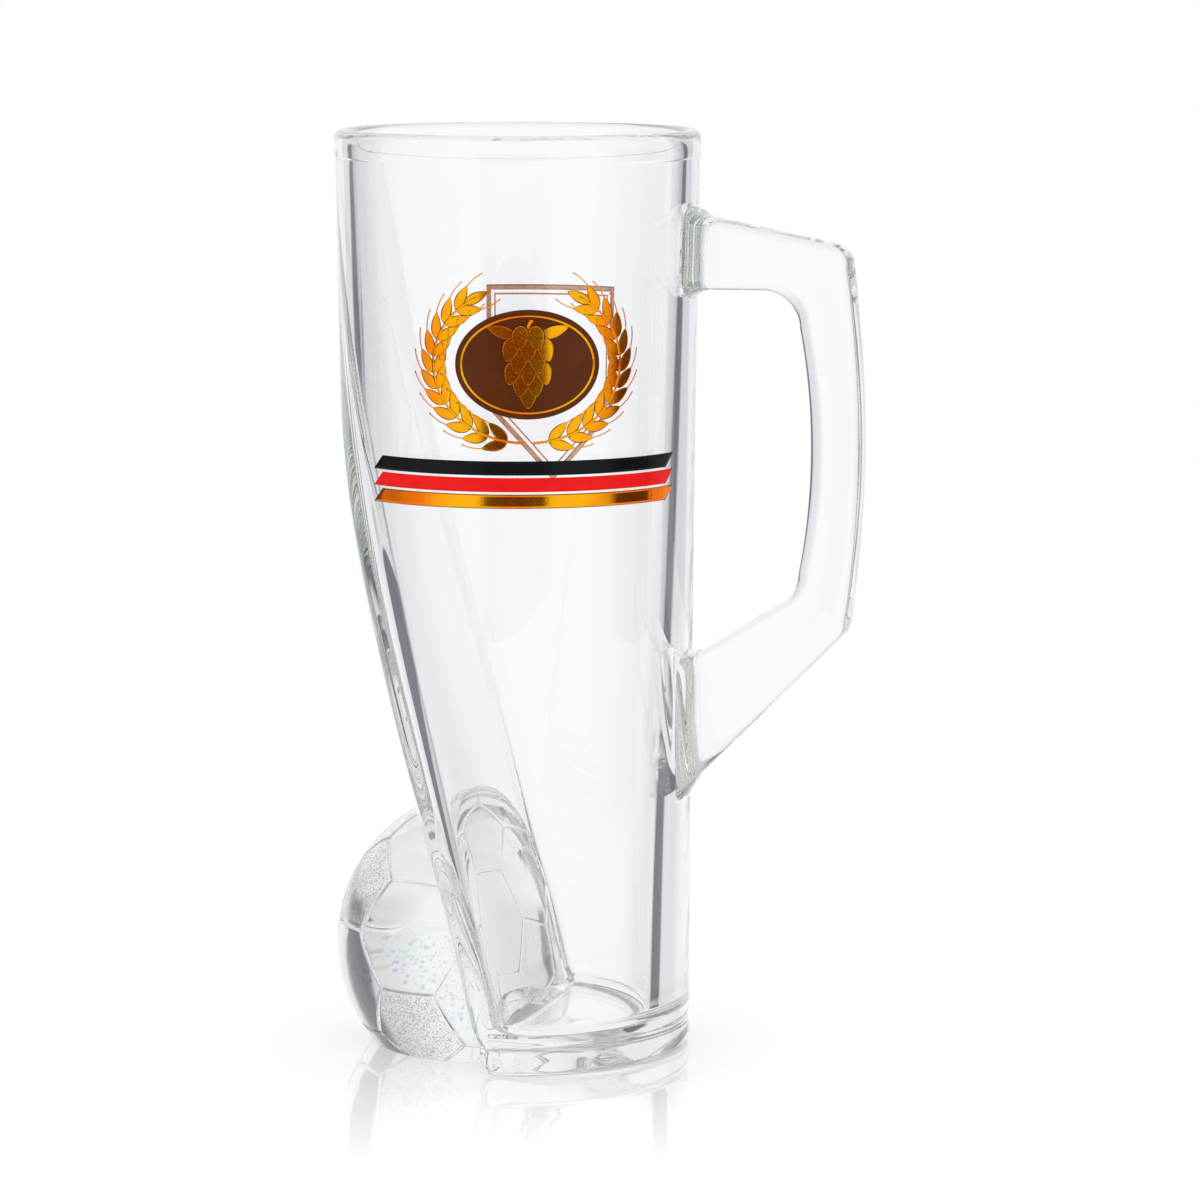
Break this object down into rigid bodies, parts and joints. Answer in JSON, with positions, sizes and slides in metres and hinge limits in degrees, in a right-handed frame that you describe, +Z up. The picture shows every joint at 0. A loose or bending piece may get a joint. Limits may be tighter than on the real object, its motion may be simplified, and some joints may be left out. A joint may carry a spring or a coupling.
{
  "type": "beer mug",
  "caption": "Tall clear pressed-glass beer mug with a side handle, a leaning flat and a moulded football at its foot, for drinking and display.",
  "frame": {"origin": "where the mug's axis meets the plane that it stands on", "axes": "+Z up along the mug's axis, +X towards the handle, -X towards the football, -Y towards the front print"},
  "size_m": [0.1161, 0.0789, 0.2],
  "materials": {
    "clear_glass": "fire-polished clear glass",
    "mirror_gold": "fired bright gold print",
    "copper_lustre": "fired copper lustre print",
    "brown_enamel": "fired glossy enamel",
    "red_enamel": "fired glossy enamel",
    "black_enamel": "fired glossy enamel"
  },
  "bodies": {
    "root": {"mug_body": "clear_glass", "football": "clear_glass", "handle": "clear_glass", "print_brown_disc": "brown_enamel", "print_gold_hop": "mirror_gold", "print_gold_ear_left": "mirror_gold", "print_gold_ear_right": "mirror_gold", "print_black_band": "black_enamel", "print_red_band": "red_enamel", "print_gold_band": "mirror_gold", "print_copper_pennant": "copper_lustre", "print_copper_ring": "copper_lustre"}
  },
  "joints": []
}
